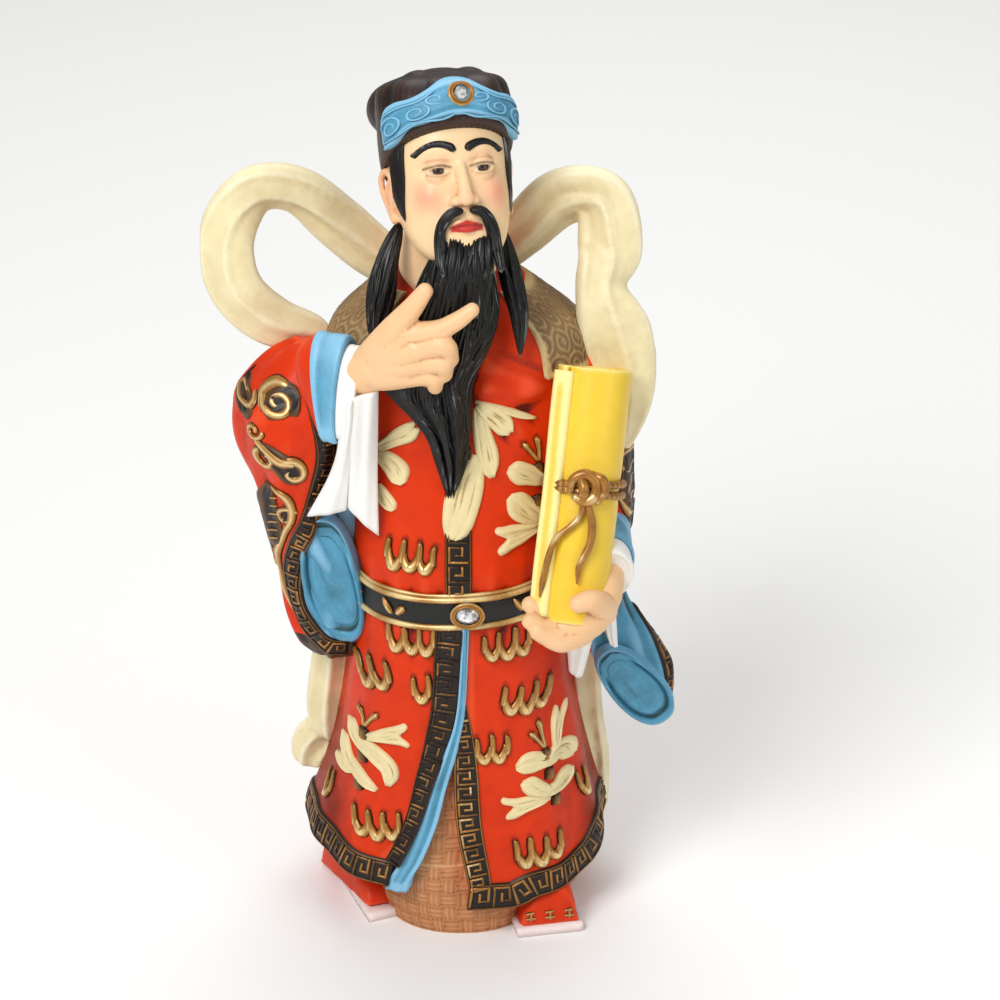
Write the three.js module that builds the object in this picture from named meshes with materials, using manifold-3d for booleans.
// Painted resin figure of a court official, about a foot tall, that stands on its own base.
// One casting carries the robe, sleeves, scarf, cap, beard, hands and scroll; two clear stones are
// set into it. Millimetres, +Z up, front towards -Y, origin at the middle of the underside.
import * as THREE from 'three';
import { mergeVertices } from 'three/addons/utils/BufferGeometryUtils.js';
import Module from 'manifold-3d';

const wasm = await Module();
wasm.setup();

// Driving dimensions
const BELT_Z = 126.5;
const BELT_HEIGHT = 12.5;
const BASE_TOP = 134;
const SKIRT_TOP = 132;
const NECK_TOP = 248;
const HEAD_CENTRE = [-4, -8.5, 271.5];
const HEAD_TILT = THREE.MathUtils.degToRad(-20);
const HEAD_TURN = THREE.MathUtils.degToRad(14);
const CAP_HALF_WIDTH = 22.5;
const BORDER_WIDTH = 7.5;
const BORDER_LIFT = 1.2;
const RELIEF_LIFT = 2;
const PANEL_THICKNESS = 14;
const SCROLL_FOOT = [36.5, -49, 128];
const SCROLL_HEAD = [45.5, -21, 208.5];
const SCROLL_RADIUS = 11.8;
const CORD_RADIUS = 1.5;
const BELT_STONE = [4, 3];
const CAP_STONE_RADIUS = 2.6;
const STONE_GAP = 0.3;

// How square the robe's plan is: 2 is an ellipse, more is squarer
const PLAN_POWER = 2.3;
const MERGE_GAP = 1e-4;

// Plan of the underskirt and base by height: z, centre x, half width, depth to front and to back
const UNDERSKIRT = [
  [0, -1, 43, 42, 37],
  [10, -1, 44, 43, 37],
  [60, -1, 38, 40, 32],
  [90, -2, 34, 37, 28],
  [BASE_TOP, -1, 34, 36, 27],
];

// Share by which the underskirt's front half is drawn in at the floor
const FRONT_TUCK = 0.28;

// Plan of the robe's outside by height, from the hem to the collar
const ROBE = [
  [10, -2.5, 54, 47, 43],
  [30, -2.5, 53, 46.5, 42],
  [49, -1.5, 47.5, 45.5, 39],
  [73, -1.3, 42.5, 44, 35.5],
  [91, -2, 39.5, 42.5, 33],
  [118, -1.5, 37.5, 41, 31],
  [134, -1.5, 37, 40, 30.5],
  [150, -1, 38.5, 37, 30.5],
  [175, -1, 41.5, 32.5, 30.5],
  [195, -1, 44.5, 29.5, 30],
  [209, -1, 45.5, 27, 28.5],
  [220, -1.5, 41, 24, 26],
  [229, -2.5, 31, 20, 23],
  [238, -3, 20, 17, 18],
  [NECK_TOP, -3.5, 15, 18, 13],
];

// Height of the hem by angle round the robe, from the front split and back to it
const HEM = [
  [-180, 11], [-135, 17], [-95, 27], [-60, 27], [-38, 22], [-20, 20], [0, 14], [10, 13],
  [20, 13], [27, 16], [45, 17.5], [59, 21], [70, 28], [78, 29.5], [100, 27], [140, 17], [180, 11],
];

// Where the two front panels end, as x by height
const LEFT_EDGE = [
  [10, -29], [22, -26.5], [32, -21], [46, -15], [61, -10.3], [75, -5.4], [85, -2.4], [96, -0.9], [134, 1.2],
];
const RIGHT_EDGE = [[10, 3.8], [26, 1.2], [46, -2.2], [68, -3], [94, -1.6], [134, -1.6]];
const LINING_WIDTH = [[10, 8], [30, 7.2], [50, 6], [70, 4.6], [85, 3], [134, 2]];
const LEFT_BORDER_WIDTH = [[20, 5.4], [52, 5.7], [70, 7.4], [84, 9], [134, 9.6]];
const RIGHT_BORDER_WIDTH = [[13, 8], [46, 8.8], [70, 8], [92, 3]];

const V = (x, y, z) => new THREE.Vector3(x, y, z);
const vector = (list) => V(...list);
const clamp = THREE.MathUtils.clamp;
const lerp = THREE.MathUtils.lerp;
const power = (value, exponent) => Math.sign(value) * Math.abs(value) ** exponent;

/** The smooth row of values at t, from stations that each start with their own t. */
function at(stations, t) {
  const last = stations.length - 1;
  let i = 0;
  while (i < last - 1 && t > stations[i + 1][0]) i += 1;
  const rows = [Math.max(i - 1, 0), i, i + 1, Math.min(i + 2, last)];
  const [before, from, to, after] = rows.map((k) => stations[k]);
  const span = to[0] - from[0];
  const f = clamp((t - from[0]) / span, 0, 1);
  return from.slice(1).map((a, k) => {
    const b = to[k + 1];
    const slopeA = (span * (b - before[k + 1])) / (to[0] - before[0]);
    const slopeB = (span * (after[k + 1] - a)) / (after[0] - from[0]);
    const [f2, f3] = [f * f, f * f * f];
    const along = a * (2 * f3 - 3 * f2 + 1) + b * (3 * f2 - 2 * f3);
    return along + slopeA * (f3 - 2 * f2 + f) + slopeB * (f3 - f2);
  });
}

/** A closed three.js geometry as a solid, its faces turned outwards. */
function solid(geometry) {
  geometry.deleteAttribute('normal');
  geometry.deleteAttribute('uv');
  const merged = mergeVertices(geometry, MERGE_GAP);
  const vertProperties = new Float32Array(merged.attributes.position.array);
  const triVerts = new Uint32Array(merged.index.array);
  const made = new wasm.Manifold(new wasm.Mesh({ numProp: 3, vertProperties, triVerts }));
  if (made.volume() > 0) return made;
  const turned = triVerts.slice().reverse();
  return new wasm.Manifold(new wasm.Mesh({ numProp: 3, vertProperties, triVerts: turned }));
}

/** A closed skin through rings: point(u, s) runs once round with u and from end to end with s. */
function loft(around, steps, point) {
  const geometry = new THREE.SphereGeometry(1, around, steps);
  const { position, uv } = geometry.attributes;
  const middle = (s) => {
    const sum = V(0, 0, 0);
    for (let k = 0; k < around; k += 1) sum.add(point(k / around, s));
    return sum.divideScalar(around);
  };
  const ends = [middle(0), middle(1)];
  for (let i = 0; i < position.count; i += 1) {
    const row = Math.round((1 - uv.getY(i)) * steps);
    const inner = row > 0 && row < steps;
    const p = inner ? point(uv.getX(i), (row - 1) / (steps - 2)) : ends[row && 1];
    position.setXYZ(i, p.x, p.y, p.z);
  }
  return solid(geometry);
}

/** A closed sheet: point(s, t, w) runs across, along, and from the inner face at 0 to the outer at 1. */
function slab(across, along, point) {
  const geometry = new THREE.BoxGeometry(1, 1, 1, across, along, 1);
  const { position } = geometry.attributes;
  for (let i = 0; i < position.count; i += 1) {
    const p = point(position.getX(i) + 0.5, position.getY(i) + 0.5, position.getZ(i) + 0.5);
    position.setXYZ(i, p.x, p.y, p.z);
  }
  return solid(geometry);
}

/** A closed band: point(u, v) runs once round the band with u and once round its section with v. */
function band(around, section, point) {
  const geometry = new THREE.TorusGeometry(1, 0.4, section, around);
  const { position, uv } = geometry.attributes;
  for (let i = 0; i < position.count; i += 1) {
    const p = point(uv.getX(i), uv.getY(i));
    position.setXYZ(i, p.x, p.y, p.z);
  }
  return solid(geometry);
}

/** A rounded mass: a sphere stretched to its half sizes, turned, and moved to its centre. */
function mass(centre, sizes, turn = [0, 0, 0], around = 12, steps = 8) {
  const geometry = new THREE.SphereGeometry(1, around, steps);
  geometry.scale(...sizes);
  geometry.rotateX(turn[0]).rotateY(turn[1]).rotateZ(turn[2]);
  geometry.translate(...centre);
  return solid(geometry);
}

/**
 * A round-ended strand along stations of t, x, y, z, half width, half thickness and roll.
 * Its width lies across the view from the front until roll turns it; pleats run along it.
 */
function strand(stations, around, steps, pleats = 0, pleatDepth = 0) {
  const centre = (t) => vector(at(stations, clamp(t, 0, 1)).slice(0, 3));
  return loft(around, steps, (u, s) => {
    const [x, y, z, width, thickness, roll] = at(stations, s);
    const tangent = centre(s + 0.01).sub(centre(s - 0.01)).normalize();
    const side = V(0, -1, 0).cross(tangent).normalize();
    side.applyAxisAngle(tangent, roll);
    const face = side.clone().cross(tangent).negate();
    const angle = 2 * Math.PI * u;
    const across = Math.cos(angle);
    const ends = Math.sqrt(clamp(1 - (2 * s - 1) ** 12, 0.04, 1));
    const pleat = 1 + pleatDepth * Math.cos(pleats * Math.PI * across);
    return V(x, y, z)
      .addScaledVector(side, width * across * ends)
      .addScaledVector(face, thickness * Math.sin(angle) * ends * pleat);
  });
}

/** A bent, tapered limb with rounded ends through joints of x, y, z and radius. */
function limb(joints, around = 5) {
  const places = joints.map(([x, y, z]) => V(x, y, z));
  const last = joints.length - 1;
  const along = places.map((p, i) => {
    const [before, after] = [places[Math.max(i - 1, 0)], places[Math.min(i + 1, last)]];
    return after.clone().sub(before).normalize();
  });
  const rings = joints.map(([, , , radius], i) => [i, 0, radius]);
  rings.unshift([0, -0.75, 0.6 * joints[0][3]]);
  rings.push([last, 0.75, 0.6 * joints[last][3]]);
  return loft(around, rings.length + 1, (u, s) => {
    const [i, push, radius] = rings[Math.round(s * (rings.length - 1))];
    const axis = along[i];
    const side = V(0, 0, 1).cross(axis);
    side.copy(side.lengthSq() > 0.1 ? side.normalize() : V(1, 0, 0));
    const angle = 2 * Math.PI * u;
    return places[i].clone()
      .addScaledVector(axis, joints[i][3] * push)
      .addScaledVector(side, radius * Math.cos(angle))
      .addScaledVector(axis.clone().cross(side), radius * Math.sin(angle));
  });
}

/** Joins many solids into one. */
const join = (solids) => wasm.Manifold.union(solids);

// The robe

/** Folds of the skirt: how far the cloth stands out at an angle and height. */
function skirtFold(angle, z) {
  const fade = clamp((SKIRT_TOP - z) / 100, 0, 1);
  const back = 0.5 - 0.5 * Math.cos(angle);
  const front = 0.8 * Math.cos(9 * angle + 0.8);
  const deep = 2.4 * Math.cos(11 * angle) + 0.9 * Math.cos(5 * angle + 1);
  return fade * (lerp(front, deep, back));
}

/** A point on the robe's outside at an angle from the front and a height, lifted off it by lift. */
function robePoint(angle, z, lift = 0) {
  const [x, width, front, back] = at(ROBE, z);
  const [s, c] = [Math.sin(angle), Math.cos(angle)];
  const out = lift + skirtFold(angle, z);
  const depth = c > 0 ? front : back;
  return V(x + (width + out) * power(s, 2 / PLAN_POWER), -(depth + out) * power(c, 2 / PLAN_POWER), z);
}

/** The angle at which the robe's front has the given x at that height. */
function frontAngle(x, z) {
  const [centre, width] = at(ROBE, z);
  return Math.asin(power(clamp((x - centre) / width, -1, 1), PLAN_POWER / 2));
}

/** A point on the robe's front, from its x and height. */
const onFront = (x, z, lift) => robePoint(frontAngle(x, z), z, lift);

const hemHeight = (angle) => {
  const degrees = THREE.MathUtils.radToDeg(angle);
  return at(HEM, degrees > 180 ? degrees - 360 : degrees)[0];
};

function underskirt() {
  return loft(20, 4, (u, s) => {
    const z = BASE_TOP * s;
    const [x, width, front, back] = at(UNDERSKIRT, z);
    const angle = 2 * Math.PI * u;
    const [sine, cosine] = [Math.sin(angle), Math.cos(angle)];
    const depth = cosine > 0 ? front : back;
    const tucked = 1 - FRONT_TUCK * clamp(cosine / 0.55, 0, 1) * clamp(1 - z / 60, 0, 1);
    const reach = width * tucked * power(sine, 2 / PLAN_POWER);
    return V(x + reach, -depth * power(cosine, 2 / PLAN_POWER), z);
  });
}

/** The skirt's two panels as one thick sheet, open at the front between their edges. */
function skirt() {
  return slab(26, 4, (s, t, w) => {
    const top = SKIRT_TOP + 1;
    const rough = lerp(14, top, t);
    const start = frontAngle(at(RIGHT_EDGE, rough)[0], rough);
    const end = frontAngle(at(LEFT_EDGE, rough)[0], rough) + 2 * Math.PI;
    const angle = lerp(start, end, s);
    const z = lerp(hemHeight(angle), top, t);
    return robePoint(angle, z, -PANEL_THICKNESS * (1 - w));
  });
}

/** A raised band that follows a panel's front edge, from the hem up to the belt. */
function edgeBorder(edge, direction) {
  return slab(1, 7, (s, t, w) => {
    const isLeft = edge === LEFT_EDGE;
    const [low, high] = isLeft ? [21, SKIRT_TOP] : [13.6, 92];
    const z = lerp(low, high, t);
    const width = at(isLeft ? LEFT_BORDER_WIDTH : RIGHT_BORDER_WIDTH, z)[0];
    const x = at(edge, z)[0] + direction * width * s;
    return onFront(x, z, lerp(-3, BORDER_LIFT, w));
  });
}

/** The turned-out lining along the left panel's front edge. */
function liningEdge() {
  return slab(1, 7, (s, t, w) => {
    const z = lerp(19, SKIRT_TOP, t);
    const x = at(LEFT_EDGE, z)[0] + at(LINING_WIDTH, z)[0] * s - 0.5;
    return onFront(x, z, lerp(-12, -0.4, w));
  });
}

/** A raised band along the hem, between two angles. */
function hemBorder(fromDegrees, toDegrees, steps) {
  return slab(steps, 1, (s, t, w) => {
    const angle = THREE.MathUtils.degToRad(lerp(fromDegrees, toDegrees, s));
    const z = hemHeight(angle) + (BORDER_WIDTH + 1) * t - 0.4;
    return robePoint(angle, z, lerp(-3, BORDER_LIFT, w));
  });
}

function torso() {
  return loft(20, 8, (u, s) => robePoint(2 * Math.PI * u, lerp(SKIRT_TOP - 6, NECK_TOP, s)));
}

/** The placket border between beard and belt. */
function placket() {
  return slab(1, 3, (s, t, w) => onFront(lerp(-5.6, 3.2, s), lerp(BELT_Z, 186, t), lerp(-3, BORDER_LIFT, w)));
}

/** The brocade yoke that lies over both shoulders and round the back of the neck. */
function yoke() {
  return slab(12, 1, (s, t, w) => {
    const angle = THREE.MathUtils.degToRad(lerp(38, 322, s));
    return robePoint(angle, lerp(206, 232, t), lerp(-4, 1.6, w));
  });
}

/** Height of the belt's middle by angle: it sags at the front. */
const beltHeight = (angle) => BELT_Z + 3 - 3 * Math.cos(angle) + 1.5 * Math.sin(angle);

/** The belt: a leather band with a rounded gold rim along each edge. */
function belt() {
  const half = BELT_HEIGHT / 2;
  const section = [[-4, -half], [2.6, -half], [1.2, -half + 2.8], [1.2, half - 2.8], [2.6, half], [-4, half]];
  return band(20, section.length, (u, v) => {
    const [out, up] = section[Math.round(v * section.length) % section.length];
    const angle = 2 * Math.PI * u;
    return robePoint(angle, beltHeight(angle), out).setZ(beltHeight(angle) + up);
  });
}

// Sleeves, as rings of z, centre x, centre y, half length, half thickness and plan angle in degrees

const RAISED_SLEEVE = [
  [97, -46, -12, 6, 4, -20],
  [101, -46.5, -12, 10.5, 6.5, -20],
  [115, -48.2, -11.5, 15.5, 8.5, -22],
  [129, -50, -10.5, 16, 9.5, -28],
  [143, -54.3, -11, 16, 10, -40],
  [158, -57, -12, 15.3, 11, -50],
  [177, -60, -11, 22, 13.5, -46],
  [190, -59.5, -10, 23.5, 14, -44],
  [198, -57, -9.5, 21, 12.5, -43],
  [205, -54.5, -9, 17, 10, -43],
  [210, -54, -8, 11, 7, -43],
  [214, -52, -9, 6, 3.5, -43],
];

const LOWERED_SLEEVE = [
  [72, 67, -13, 4, 3, 20],
  [78, 65.5, -12.5, 7.5, 5, 20],
  [88, 62, -11, 11.5, 6.5, 22],
  [100, 55.5, -10, 13, 8, 30],
  [118, 47, -9, 12, 8.5, 55],
  [136, 47, -10, 15, 10, 80],
  [156, 47, -6, 17, 12, 80],
  [175, 46.5, -1, 15, 12, 80],
  [195, 44, 1, 14, 12, 80],
  [212, 37, 1, 12, 8, 80],
];

/** A sleeve's skin at a turn u and height z, lifted off it by lift. */
function sleevePoint(stations, u, z, lift = 0) {
  const [x, y, length, thickness, degrees] = at(stations, z);
  const angle = 2 * Math.PI * u;
  const fold = 0.7 * Math.cos(5 * angle + z / 14);
  const plan = THREE.MathUtils.degToRad(degrees);
  const along = (length + lift + fold) * Math.cos(angle);
  const across = (thickness + lift + fold) * Math.sin(angle);
  const [sine, cosine] = [Math.sin(plan), Math.cos(plan)];
  return V(x + along * cosine - across * sine, y + along * sine + across * cosine, z);
}

const sleeve = (stations, steps) => loft(14, steps, (u, s) => {
  const [low, high] = [stations[0][0], stations[stations.length - 1][0]];
  return sleevePoint(stations, u, lerp(low, high, s));
});

/** The lining that shows in a sleeve's mouth: a flat lobe with one ridge inside another. */
function liningLobe(centre, halfWidth, halfHeight, lean, turn, bend) {
  const pose = new THREE.Euler(0.12, lean, turn, 'ZYX');
  const frame = new THREE.Matrix4().makeRotationFromEuler(pose).setPosition(...centre);
  return loft(13, LOBE_PROFILE.length + 1, (u, s) => {
    const angle = 2 * Math.PI * u;
    const [reach, depth] = LOBE_PROFILE[Math.round(s * (LOBE_PROFILE.length - 1))];
    const [across, up] = [power(Math.cos(angle), 0.8), Math.sin(angle)];
    const x = halfWidth * reach * (1 - 0.12 * up) * across + (bend * (1 - up) ** 2) / 4;
    return V(x, depth, halfHeight * reach * up).applyMatrix4(frame);
  });
}

// Rings of the lobe from its back to the middle of its front: share of its half size, and depth
const LOBE_PROFILE = [[0.9, 6], [1, -2.4], [0.84, -3.6], [0.74, -1.6], [0.62, -3.4], [0.4, -1.6]];

// Rings of a cuff, from the sleeve outwards: share of its half size, and of its depth
const CUFF_PROFILE = [[0.9, -0.75], [1, -0.1], [0.9, 0.05], [0.88, 0.45]];

/** A double cuff round a wrist, tall and narrow, standing square to the arm. */
function cuff(centre, towards, halfHeight, halfWidth, depth) {
  const axis = vector(towards).normalize();
  const side = V(0, 0, 1).cross(axis).normalize();
  const up = axis.clone().cross(side);
  return loft(11, CUFF_PROFILE.length + 1, (u, s) => {
    const angle = 2 * Math.PI * u;
    const [reach, push] = CUFF_PROFILE[Math.round(s * (CUFF_PROFILE.length - 1))];
    return vector(centre)
      .addScaledVector(axis, depth * push)
      .addScaledVector(side, halfWidth * reach * Math.cos(angle))
      .addScaledVector(up, halfHeight * reach * Math.sin(angle));
  });
}

/** A hanging point of cloth: a flat sheet that narrows from its top edge to its tip. */
function clothPoint(topFrom, topTo, lowFrom, lowTo, thickness) {
  const [a, b, c, d] = [topFrom, topTo, lowFrom, lowTo].map(vector);
  return slab(2, 1, (s, t, w) => {
    const low = c.clone().lerp(d, s);
    const high = a.clone().lerp(b, s);
    const fold = 1.1 * Math.sin(2 * Math.PI * s);
    return low.lerp(high, t).add(V(0, thickness * (0.5 - w) + fold, 0));
  });
}

function raisedArm() {
  return join([
    sleeve(RAISED_SLEEVE, 9),
    limb([[-44, -2, 202, 13], [-44, -5, 165, 12], [-42, -7, 130, 11]], 6),
    liningLobe([-46.3, -20, 130.5], 10.6, 24.5, 0, -0.25, 5),
    cuff([-38.3, -29.5, 203], [0.92, -0.38, 0.1], 22, 11, 15),
    clothPoint([-42.5, -31, 192], [-35.5, -33, 204], [-52.5, -29, 157.8], [-39.3, -30.5, 161], 3),
    clothPoint([-37, -33, 204], [-28.2, -34, 206], [-38.8, -30.5, 162], [-28.6, -31, 151.2], 3),
  ]);
}

function loweredArm() {
  return join([
    sleeve(LOWERED_SLEEVE, 8),
    limb([[41, 0, 206, 12], [42, -3, 165, 11.5], [41, -8, 122, 10]], 6),
    limb([[46, -8, 148, 12], [49.5, -30, 144, 9.2]], 6),
    liningLobe([60, -19, 88.5], 9, 19.5, -0.68, 0.15, 0),
    cuff([49.5, -34, 143], [0.12, -0.93, -0.3], 12.5, 9.5, 15),
    clothPoint([34, -45, 125], [46, -45, 125], [37, -28, 98], [42, -27, 96], 6),
  ]);
}

// Scarf loops and sash ends: t, x, y, z, half width, half thickness, roll

const LEFT_SCARF = [
  [0, -12, 21, 226, 8, 4, 0],
  [0.12, -28, 19, 234, 9, 4.5, 0.2],
  [0.26, -42, 17, 247, 9.5, 5, 0.1],
  [0.4, -56, 14, 260, 9, 5.5, -0.3],
  [0.54, -71, 10, 261, 9, 5.5, -0.2],
  [0.67, -80, 6, 247, 10, 5, 0.2],
  [0.79, -77.5, 3, 229, 10.5, 5, 0.3],
  [0.9, -64, 3, 216, 9.5, 5, 0],
  [1, -45, 4, 212, 8, 4, 0],
];

const RIGHT_SCARF = [
  [0, 5, 22, 226, 8, 4, 0],
  [0.12, 20, 18, 243, 9.5, 5, 0.1],
  [0.26, 34, 15, 257, 11, 5, 0.2],
  [0.4, 48, 11, 258, 10.5, 5, 0.3],
  [0.52, 50.5, 6, 242.5, 11.5, 5, 0.2],
  [0.64, 47.3, -1, 230.5, 9, 5, -0.2],
  [0.76, 52.3, -8, 215, 13, 4.5, 0],
  [0.88, 56.8, -8, 194, 9.5, 4.5, 0],
  [1, 54, -5, 168, 4, 4, 0],
];

const LEFT_SASH = [
  [0, -44, 4, 112, 7, 5, 0],
  [0.35, -46.5, 5, 88, 8, 5.5, 0],
  [0.7, -47.5, 7, 67, 9.5, 6, 0],
  [1, -47, 7, 53, 7.5, 5, 0],
];

const LEFT_SASH_END = [
  [0, -48, 10, 60, 6, 4, 0],
  [0.5, -55, 12, 49, 8, 4.5, 0.2],
  [1, -57, 12, 39, 6, 3.5, 0.2],
];

const RIGHT_SASH = [
  [0, 39, 4, 112, 7, 5, 0],
  [0.3, 41, 6, 88, 7.5, 5.5, 0],
  [0.55, 43.5, 8, 62, 7, 5.5, 0],
  [0.75, 46, 10, 44, 7, 5, 0],
  [1, 48, 10, 16, 5, 4, 0],
];

function scarf() {
  return join([
    strand(LEFT_SCARF, 8, 14, 2, 0.22),
    strand(RIGHT_SCARF, 8, 14, 2, 0.22),
    strand(LEFT_SASH, 8, 5, 2, 0.2),
    strand(LEFT_SASH_END, 8, 5, 2, 0.2),
    strand(RIGHT_SASH, 8, 6, 2, 0.2),
  ]);
}

// The head, modelled upright about its own centre, then tilted back and turned

const headFrame = new THREE.Matrix4()
  .makeRotationFromEuler(new THREE.Euler(HEAD_TILT, 0, HEAD_TURN, 'ZYX'))
  .setPosition(...HEAD_CENTRE);

const onHead = (x, y, z) => V(x, y, z).applyMatrix4(headFrame);

const placedOnHead = (piece) => piece.transform(headFrame.elements);

// Skull and face by height: half width, front and back
const HEAD = [
  [-28, 5, -17.5, -8],
  [-25.5, 10.5, -20.5, -2],
  [-19, 15, -21, 7],
  [-10, 17.8, -20.6, 14],
  [0, 19.2, -19.8, 19],
  [8, 19.6, -20.6, 21],
  [16, 19, -19.6, 21],
  [24, 16, -15, 18],
  [30, 8, -8, 9],
];

/** The cap's plan by share of height: half width, front, back and height. */
const CAP = [
  [0, 21.3, -21.8, 22, 0],
  [0.1, 22.2, -22.6, 23, 2],
  [0.45, CAP_HALF_WIDTH, -22.4, 24, 14],
  [0.75, CAP_HALF_WIDTH - 0.3, -20, 24, 24],
  [0.9, 20, -15.5, 21, 31],
  [1, 12, -8, 13, 34.5],
];

function skull() {
  const face = loft(14, 9, (u, s) => {
    const z = lerp(HEAD[0][0], HEAD[HEAD.length - 1][0], s);
    const [width, front, back] = at(HEAD, z);
    const angle = 2 * Math.PI * u;
    const middle = (front + back) / 2;
    return V(width * Math.sin(angle), middle - ((back - front) / 2) * power(Math.cos(angle), 0.86), z);
  });
  const nose = mass([0, -20.6, -2.6], [3, 4.4, 7.5], [0.3, 0, 0], 7, 6);
  const neck = limb([[-3, 0, 236, 15], [-4, -6, 262, 13]], 8);
  const features = [1, -1].flatMap((side) => [
    mass([side * 19.6, 1, -5], [2.8, 4.8, 8], [0, 0, side * 0.35], 6, 5),
    mass([side * 7.6, -18.4, 2.5], [4.6, 2.8, 2.4], [0, 0, side * 0.2], 6, 4),
  ]);
  const lips = mass([0, -20.6, -14.2], [5.2, 2, 2], [0, 0, 0], 8, 4);
  return join([neck, placedOnHead(join([face, nose, lips, ...features]))]);
}

/** The cap's lower edge, which arches over the brow and comes down behind the ears. */
function capRim(angle) {
  const front = 0.5 + 0.5 * Math.cos(angle);
  return lerp(-8, 17.5, front ** 0.8);
}

/** A point on the cap by angle from the front and share of its height. */
function capPoint(angle, share, lift = 0) {
  const [width, front, back, height] = at(CAP, share);
  const middle = (front + back) / 2;
  const rim = capRim(angle);
  const depth = (back - front) / 2;
  return V(
    (width + lift) * power(Math.sin(angle), 0.92),
    middle - (depth + lift) * power(Math.cos(angle), 0.92),
    rim + ((34.5 - rim + 1) * height) / 34.5,
  );
}

// The cloud plaque across the cap: half span in degrees, then lower and upper edge as shares of height
const PLAQUE_SPAN = 74;
const plaqueLow = (f) => 0.12 + 0.1 * Math.cos(3 * Math.PI * f) ** 2 - 0.04 * Math.abs(f);
const plaqueHigh = (f) => 0.5 + 0.3 * Math.exp(-((f / 0.28) ** 2)) + 0.07 * Math.cos(5 * Math.PI * f);

function cap() {
  const crown = loft(16, 7, (u, s) => capPoint(2 * Math.PI * u, s));
  const lobes = [
    mass([-13, 12, 25], [10.5, 12, 9.5], [0, 0, 0], 8, 4),
    mass([13.5, 11, 25.5], [9.5, 12, 9], [0, 0, 0], 8, 4),
    mass([0, 3, 30.5], [14, 14, 7], [0, 0, 0], 8, 4),
  ];
  const plaque = slab(12, 2, (s, t, w) => {
    const f = 2 * s - 1;
    const angle = THREE.MathUtils.degToRad(PLAQUE_SPAN * f);
    const share = lerp(plaqueLow(f), plaqueHigh(f), t);
    return capPoint(angle, share, lerp(-2, 2.2, w));
  });
  return placedOnHead(join([crown, plaque, ...lobes]));
}

// Setting of a stone: a round gold ring with a seat for the stone cut into it

/** A lathe-turned solid about +Z through [radius, height] points, stretched in x. */
function turned(profile, around, stretch = 1) {
  const geometry = new THREE.LatheGeometry(profile.map(([r, h]) => new THREE.Vector2(r, h)), around);
  geometry.rotateX(Math.PI / 2);
  geometry.scale(stretch, 1, 1);
  return solid(geometry);
}

const settingProfile = (seat) => [[0, -3], [seat + 1.9, -3], [seat + 1.9, 0.5], [seat + 0.9, 1.2], [0, 1.2]];
const pocketProfile = (seat) => [[0, -1.2], [seat + STONE_GAP, -1.2], [seat + STONE_GAP, 6], [0, 6]];
const stoneProfile = (radius) => [[0, -0.9], [radius, -0.9], [radius, 0.5], [radius * 0.62, 1.7], [0, 1.7]];

/** Where a stone sits: an axis pointing out of the casting, at a point on it. */
function seatFrame(place, outwards) {
  const turn = new THREE.Quaternion().setFromUnitVectors(V(0, 0, 1), outwards.clone().normalize());
  return new THREE.Matrix4().compose(place, turn, V(1, 1, 1));
}

const capSeat = seatFrame(onHead(1.2, -23, 27.5), onHead(0.1, -1, 0.3).sub(onHead(0, 0, 0)));
const beltSeat = seatFrame(robePoint(frontAngle(1.7, BELT_Z), BELT_Z, 2.4), V(0, -1, 0));

/** A turned piece of the cap's setting, or of the belt's oval one. */
const onCap = (profile, around) => turned(profile(CAP_STONE_RADIUS), around).transform(capSeat.elements);
const onBelt = (profile, around) => turned(profile(BELT_STONE[1]), around, BELT_STONE[0] / BELT_STONE[1])
  .transform(beltSeat.elements);

// Beard, moustache and side locks

// Rows of z, left x, right x, front y and half thickness
const BEARD = [
  [167, -5.2, -2.2, -35.5, 1.2],
  [172, -6.4, -0.8, -36.5, 2.4],
  [180, -8.4, 1.4, -38.5, 3.6],
  [190, -11.5, 2.2, -40.5, 4.6],
  [198, -17, 2.8, -42, 5.2],
  [206, -24.5, 3.2, -43, 5.8],
  [213, -27.5, 4.6, -43.2, 6.4],
  [222, -25, 9, -42.5, 7],
  [234, -18, 12.5, -40.5, 8],
  [244, -14, 11.5, -38.5, 8],
  [252, -10, 8.5, -35, 6],
];

/** How far a lock of hair stands out across the beard, at a share of its width and a height. */
const lock = (f, z) => 1.1 * Math.cos(11 * f + 0.8 * Math.sin(z / 9)) + 0.4 * Math.cos(5 * f + z / 11);

function beard() {
  return loft(16, 9, (u, s) => {
    const z = lerp(BEARD[0][0], BEARD[BEARD.length - 1][0], s);
    const [left, right, front, half] = at(BEARD, z);
    const angle = 2 * Math.PI * u;
    const f = Math.sin(angle);
    const x = lerp(left, right, 0.5 + 0.5 * f);
    const grow = Math.cos(angle) > 0 ? lock(f, z) * clamp(half / 4, 0, 1) : 0;
    return V(x, front + half - (half + grow) * Math.cos(angle), z);
  });
}

const LEFT_LOCK = [
  [0, -20, -13, 259, 1.5, 2, 0],
  [0.3, -24.5, -20, 248, 3.4, 3, 0],
  [0.65, -27, -26, 236, 4.6, 3.6, 0],
  [1, -29.5, -28, 222, 2, 2, 0],
];

const RIGHT_LOCK = [
  [0, 12.5, -14, 259, 1.5, 2, 0],
  [0.25, 14.8, -20, 250, 3.2, 3, 0],
  [0.5, 17.2, -25, 241, 3.6, 3.4, 0],
  [0.78, 19.6, -28, 230, 3, 3, 0],
  [1, 19.8, -29, 216, 1, 1.2, 0],
];

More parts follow.
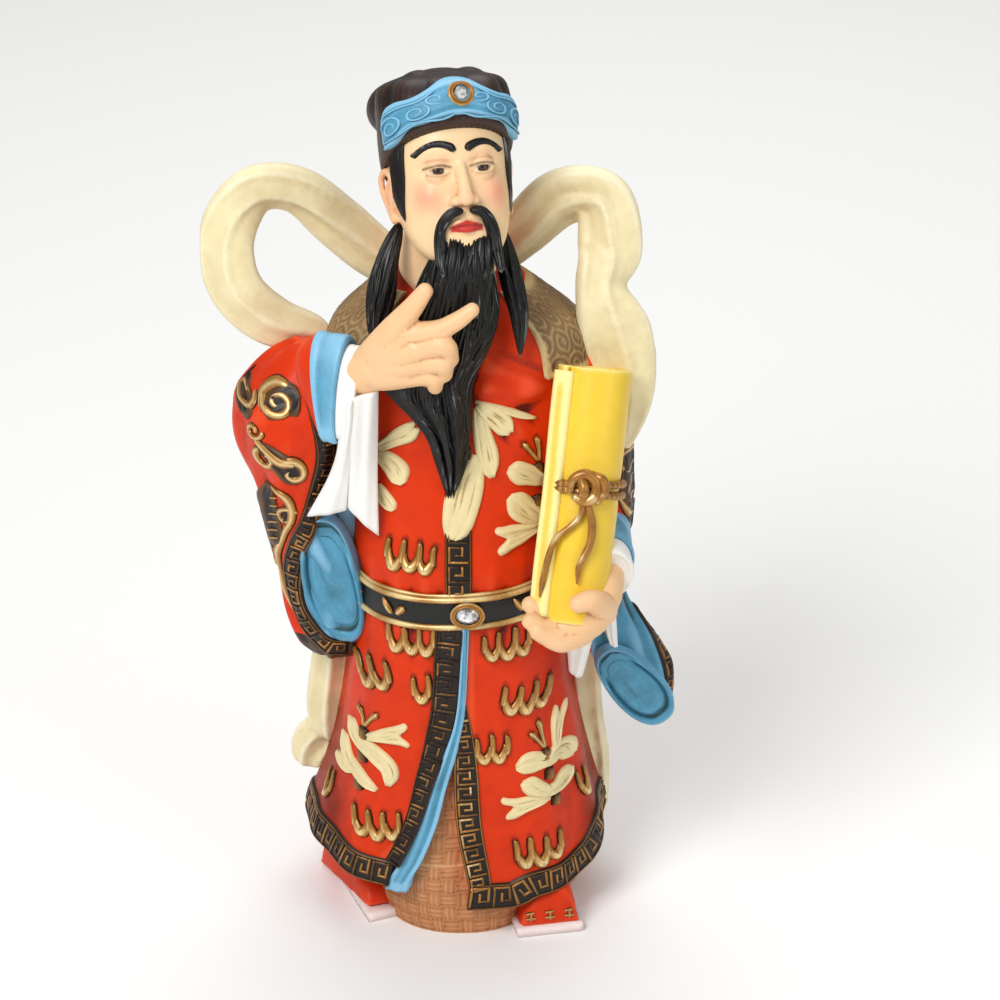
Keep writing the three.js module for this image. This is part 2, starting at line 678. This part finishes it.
/** One half of the moustache: from under the nose, round the mouth and down over the beard. */
function moustache(side) {
  const points = [
    [1, -21.4, -10.2, 1.4], [6, -20.8, -12, 1.7], [8.8, -19.4, -17, 1.8], [9.4, -20.5, -24, 1.9],
    [9.8, -23.5, -31, 1.6],
  ];
  const stations = points.map(([x, y, z, half], i) => {
    const p = onHead(side * x, y, z);
    return [i / (points.length - 1), p.x, p.y, p.z, half, 1.5, 0];
  });
  return strand(stations, 4, 6);
}

function hair() {
  return join([
    beard(),
    mass([-2, -22, 238], [20, 13, 20], [-0.2, 0, 0], 7, 5),
    strand(LEFT_LOCK, 8, 6, 2, 0.25),
    strand(RIGHT_LOCK, 8, 7, 2, 0.25),
    moustache(1),
    moustache(-1),
  ]);
}

// Hands

/** The raised hand: the back of it faces front, thumb up and first finger laid over the beard. */
function raisedHand() {
  return join([
    limb([[-44, -19, 204, 8], [-34, -34, 212.5, 8.4]], 7),
    mass([-23, -39.5, 219.5], [14.5, 7, 9.8], [0.1, -0.5, 0.15], 9, 6),
    limb([[-23, -40, 226, 4.2], [-16, -43, 238, 3.5], [-11.5, -43.5, 245, 2.8]]),
    limb([[-16, -42, 226, 4.4], [-5, -46.5, 232.6, 3.4], [3.5, -47, 239.6, 2.6]]),
    limb([[-16, -43, 222, 4], [-5.5, -47.5, 226.5, 3.2]]),
    limb([[-15, -43, 216.5, 3.9], [-7, -47, 220, 3.2]]),
  ]);
}

/** The lowered hand: palm up under the scroll, fingers round its foot and thumb in front. */
function loweredHand() {
  return join([
    limb([[48, -34, 142.5, 7.8], [47, -45, 136, 7.6]], 7),
    mass([40.5, -52.5, 128.5], [12.5, 8.5, 6.8], [0.2, 0.25, 0.3], 9, 6),
    limb([[48.5, -51, 131, 4.8], [45, -61, 140, 4], [39.5, -63, 140, 3.2]]),
    limb([[40, -56, 126, 4.4], [26, -61.5, 128.5, 3.3]]),
    limb([[36, -53.5, 128, 4.2], [24, -59, 132.5, 3.3]]),
    limb([[33, -50, 130, 4], [23, -54.5, 136, 3.3]]),
    limb([[43, -57, 125.5, 4], [31, -61, 125.5, 3.3]]),
  ]);
}

// Scroll

const scrollAxis = vector(SCROLL_HEAD).sub(vector(SCROLL_FOOT));
const scrollLength = scrollAxis.length();
const scrollFrame = new THREE.Matrix4().compose(
  vector(SCROLL_FOOT),
  new THREE.Quaternion().setFromUnitVectors(V(0, 0, 1), scrollAxis.clone().normalize()),
  V(1, 1, 1),
);

/** Radius of the rolled paper at an angle from the front: one turn of it steps out to a free edge. */
function rollRadius(angle) {
  const turn = ((angle / (2 * Math.PI)) % 1 + 1) % 1;
  return SCROLL_RADIUS + 1.2 * turn;
}

function scroll() {
  const roll = loft(14, 5, (u, s) => {
    const angle = 2 * Math.PI * u;
    const row = Math.round(3 * s);
    const ends = row % 3 ? 1 : 0.94;
    const z = scrollLength * [-0.005, 0.01, 0.99, 1.005][row];
    const radius = rollRadius(angle) * ends;
    return V(radius * Math.sin(angle - 0.9), -radius * Math.cos(angle - 0.9), z);
  });
  const flap = slab(2, 1, (s, t, w) => {
    const angle = lerp(-1.0, -0.72, s);
    const radius = SCROLL_RADIUS + lerp(-1, 3.4 - 0.8 * s, w);
    const z = scrollLength * lerp(0.02, 0.98, t);
    return V(radius * Math.sin(angle) - 1.5 * (1 - s), -radius * Math.cos(angle), z);
  });
  const ring = (height, tube) => band(12, 3, (u, v) => {
    const [angle, turn] = [2 * Math.PI * u, 2 * Math.PI * v];
    const radius = SCROLL_RADIUS + 1.2 + tube * Math.cos(turn);
    return V(radius * Math.sin(angle), -radius * Math.cos(angle), height + tube * Math.sin(turn));
  });
  const knot = [
    mass([0, -SCROLL_RADIUS - 2.4, 46], [4.6, 3.2, 4.2], [0, 0, 0], 6, 4),
    mass([3.4, -SCROLL_RADIUS - 2.2, 46], [3, 2.6, 4.8], [0, 0.4, 0], 6, 4),
  ];
  const tails = [TAIL_LONG, TAIL_SHORT].map((stations) => strand(stations, 4, 6));
  return join([roll, flap, ring(45.8, 1.6 * CORD_RADIUS), ...knot, ...tails]).transform(scrollFrame.elements);
}

// Cord tails hanging down the scroll, in the scroll's own frame
const TAIL_LONG = [
  [0, 0, -15, 44, 1.4, 1.3, 0],
  [0.3, 0.5, -14, 35, 1.6, 1.3, 0],
  [0.55, -5, -13, 28, 1.5, 1.3, 0],
  [0.8, -8.5, -11, 19, 1.4, 1.3, 0],
  [1, -10, -9.5, 7, 0.9, 0.9, 0],
];
const TAIL_SHORT = [
  [0, 1, -15, 44, 1.4, 1.3, 0],
  [0.35, 4.5, -13.6, 34, 1.7, 1.4, 0],
  [0.7, 4.5, -13.4, 22, 1.5, 1.3, 0],
  [1, 2, -13.6, 12, 0.7, 0.8, 0],
];

// Shoes

/** A square-toed shoe on a thick pale sole, from its heel point towards an angle off the front. */
function shoe(toe, degrees, width, length, rise, slope) {
  const turn = THREE.MathUtils.degToRad(degrees);
  const forward = V(Math.sin(turn), -Math.cos(turn), 0);
  const side = V(Math.cos(turn), Math.sin(turn), 0);
  const tip = vector(toe);
  const placed = (s, t, up) => tip.clone()
    .addScaledVector(forward, -length * t)
    .addScaledVector(side, width * (s - 0.5))
    .setZ(up);
  const sole = slab(1, 1, (s, t, w) => placed(lerp(-0.03, 1.03, s), lerp(-0.03, 1, t), 3 * w));
  const upper = slab(3, 3, (s, t, w) => {
    const arch = 1 - 0.35 * (2 * s - 1) ** 2 - slope * (2 * s - 1);
    const nose = lerp(0.7, 1, clamp(t * 3, 0, 1));
    return placed(s, t, lerp(2, rise * arch * nose, w));
  });
  return join([sole, upper]);
}

function shoes() {
  return join([
    shoe([-43.5, -12, 0], -63.5, 46, 30, 21, 0.22),
    shoe([30.8, -41, 0], 12, 22.5, 34, 22, -0.15),
  ]);
}

// Flowers and flame scrolls in low relief on the robe's front

// Each petal or leaf: root x and height, tip x and height, width, fork
const FLOWERS = [
  [-34, 67, -46, 58.5, 8, 0.2], [-35, 66.5, -38.5, 55.5, 8, 0.1], [-34, 67, -29.5, 56, 8.5, 0],
  [-33, 69, -23.8, 60.5, 8.5, 0], [-33.5, 71, -19.8, 82, 7, 0.8], [-39, 75, -29.5, 79.5, 5, 0],
  [32.3, 69, 35, 85, 6, 1], [31.5, 68, 20, 67, 7, 0], [31.5, 63, 22.3, 55, 7.5, 0.1],
  [32.5, 62.5, 39.6, 63.4, 6.5, 0], [32.5, 61, 36.9, 53.8, 7, 0], [27.5, 55.5, 15.2, 48.2, 7, 0.5],
  [-29, 184, -14.5, 192, 6.5, 0.4], [-28, 183, -19, 173, 10.5, 0], [-27.5, 180, -23.8, 163.8, 7.5, 0.4],
  [4.6, 202, 26, 195.6, 2.6, 0], [4.8, 201.6, 19, 190, 8.5, 0], [5, 201, 12, 174, 11, 0.3],
  [8, 184.5, -4.6, 154, 12.5, -0.6], [28.5, 168, 16.6, 174.5, 10.5, 0.2], [28.5, 167, 15, 157.5, 11, 0.1],
  [27.5, 159, 11.5, 149, 9.5, 0.6],
];

/** A petal laid on the robe from its root to its tip, with its width and fork. */
function petal([rootX, rootZ, tipX, tipZ, width, fork]) {
  const turn = Math.atan2(tipZ - rootZ, tipX - rootX);
  const length = Math.hypot(tipX - rootX, tipZ - rootZ);
  return slab(1, 2, (s, t, w) => {
    const f = 2 * s - 1;
    const half = (width / 2) * [0.45, 1, 0.5][Math.round(2 * t)];
    const reach = length * t * (1 + fork * 0.2 * f * t);
    const px = rootX + reach * Math.cos(turn) - half * f * Math.sin(turn);
    const pz = rootZ + reach * Math.sin(turn) + half * f * Math.cos(turn);
    return onFront(px, pz, lerp(-2, RELIEF_LIFT, w));
  });
}

const flowers = () => FLOWERS.map(petal);

const figureSolid = () => {
  const joined = join([
    underskirt(), skirt(), torso(), yoke(), belt(), placket(), liningEdge(),
    edgeBorder(LEFT_EDGE, -1), edgeBorder(RIGHT_EDGE, 1),
    hemBorder(-100, -31, 8), hemBorder(9, 84, 8),
    raisedArm(), loweredArm(), scarf(), skull(), cap(), onCap(settingProfile, 10), onBelt(settingProfile, 10),
    hair(), raisedHand(), loweredHand(), scroll(), shoes(),
    ...flowers(),
  ]);
  const pockets = join([onCap(pocketProfile, 12), onBelt(pocketProfile, 12)]);
  const bodies = joined.subtract(pockets).decompose();
  return bodies.reduce((largest, body) => (body.volume() > largest.volume() ? body : largest));
};

/** A solid as a three.js mesh. */
function meshOf(name, made, material) {
  const { vertProperties, triVerts } = made.getMesh();
  const geometry = new THREE.BufferGeometry();
  geometry.setAttribute('position', new THREE.BufferAttribute(vertProperties, 3));
  geometry.setIndex(new THREE.BufferAttribute(triVerts, 1));
  geometry.computeVertexNormals();
  const mesh = new THREE.Mesh(geometry, material);
  mesh.name = name;
  return mesh;
}

const paintedResin = new THREE.MeshStandardMaterial({ color: 0xc9301c, roughness: 0.42, metalness: 0 });
const clearStone = new THREE.MeshStandardMaterial({ color: 0xe9ecec, roughness: 0.05, metalness: 0 });
const official = new THREE.Group();
official.add(meshOf('figure', figureSolid(), paintedResin));
official.add(meshOf('cap_stone', onCap(stoneProfile, 12), clearStone));
official.add(meshOf('belt_stone', onBelt(stoneProfile, 12), clearStone));

export default official;
